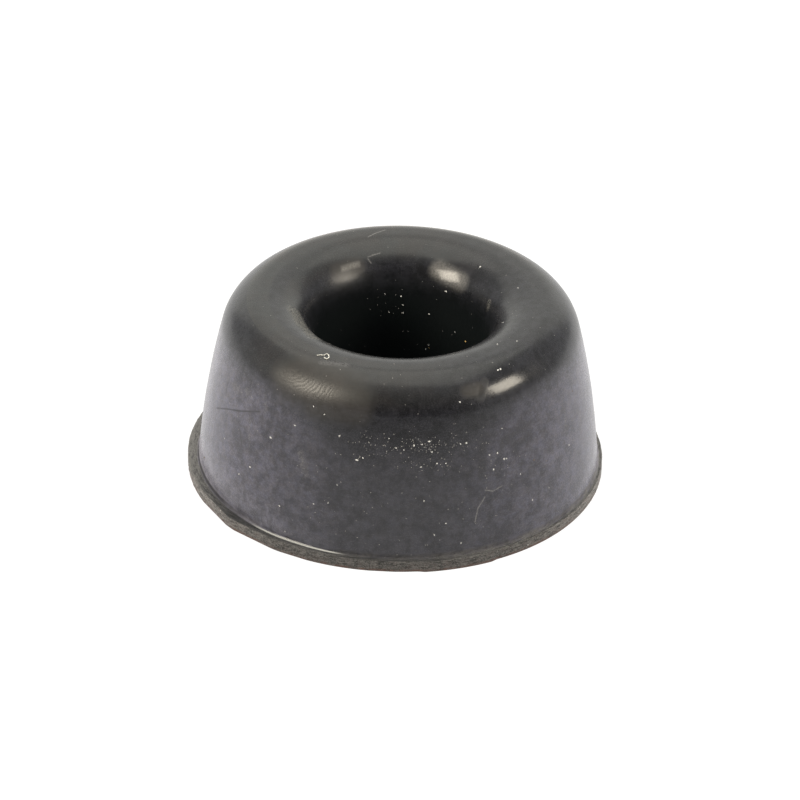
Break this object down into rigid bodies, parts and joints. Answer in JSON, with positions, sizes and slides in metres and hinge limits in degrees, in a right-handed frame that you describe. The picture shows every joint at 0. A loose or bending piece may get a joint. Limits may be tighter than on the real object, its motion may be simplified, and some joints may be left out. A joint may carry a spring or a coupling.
{
  "type": "rubber bumper pad",
  "caption": "Round tapered rubber bumper with a rolled crown, a deep central well that takes the fixing screw, and a thin moulding flange round the foot.",
  "frame": {"origin": "on the body's axis, in the middle of the screw hole, at the flat underside", "axes": "+Z along the body's axis, from the underside to the crown; -Y is the side that faces the picture's camera, +X is to its right"},
  "size_m": [0.038, 0.038, 0.0173],
  "materials": {
    "rubber": "satin"
  },
  "bodies": {
    "root": {"rubber_bumper": "rubber"}
  },
  "joints": []
}
